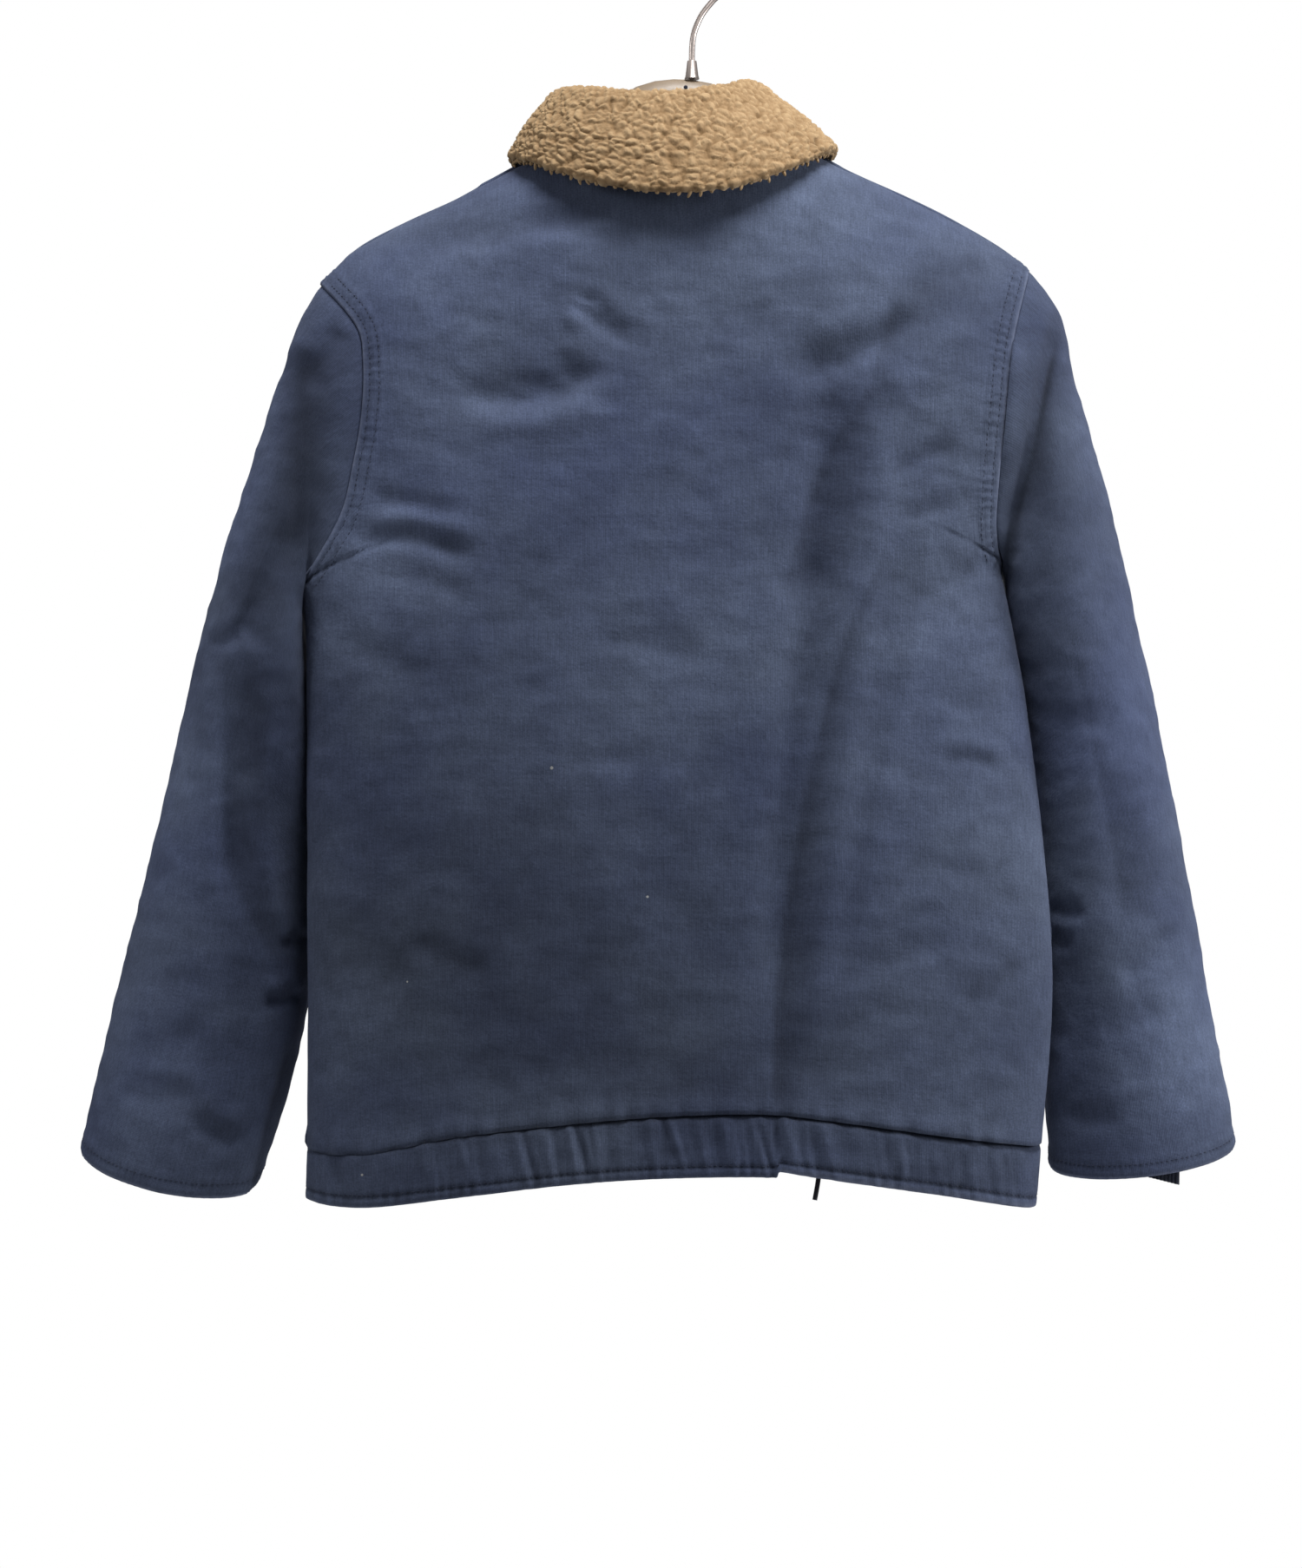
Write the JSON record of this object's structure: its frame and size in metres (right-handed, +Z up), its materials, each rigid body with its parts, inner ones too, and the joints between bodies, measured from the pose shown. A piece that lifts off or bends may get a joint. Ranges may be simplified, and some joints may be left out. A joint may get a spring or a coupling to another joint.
{
  "type": "deck jacket on a hanger",
  "caption": "Navy cotton deck jacket with a turned-down tan pile collar, zipped at the front and hanging on a plastic hanger with a wire hook.",
  "frame": {"origin": "the inside of the hook's crown, where a rod carries it", "axes": "+Z up; the jacket's front faces -Y and its back +Y; the wearer's left is +X"},
  "size_m": [0.7449, 0.1584, 0.8116],
  "materials": {
    "navy_cloth": "washed close-woven cotton, matt",
    "navy_band": "the same cotton, folded double and gathered",
    "pile": "short curled tan pile",
    "strap": "dark navy webbing",
    "cord": "dark braided cord",
    "zip_tape": "woven tape with metal teeth",
    "zip_metal": "dulled nickel plate",
    "hanger_plastic": "warm grey moulded plastic",
    "steel_wire": "plated wire"
  },
  "bodies": {
    "jacket": {"back": "navy_cloth", "front_left": "navy_cloth", "front_right": "navy_cloth", "sleeve_left": "navy_cloth", "sleeve_right": "navy_cloth", "hem_band_back": "navy_band", "hem_band_front_left": "navy_band", "hem_band_front_right": "navy_band", "collar": "pile", "cuff_strap_right": "strap", "hem_drawcord": "cord", "zip_left": "zip_tape", "zip_right": "zip_tape", "zip_slider": "zip_metal", "hanger": "hanger_plastic", "hanger_ferrule": "steel_wire", "hanger_hook": "steel_wire"},
    "pull_tab": {"zip_pull_tab": "zip_metal"}
  },
  "joints": [
    {"name": "pull_tab_swing", "type": "hinge", "parent": "jacket", "child": "pull_tab", "pos_m": [0.0115, -0.06674, -0.2299], "axis": [-1, 0, 0], "range_deg": [0, 120]}
  ]
}
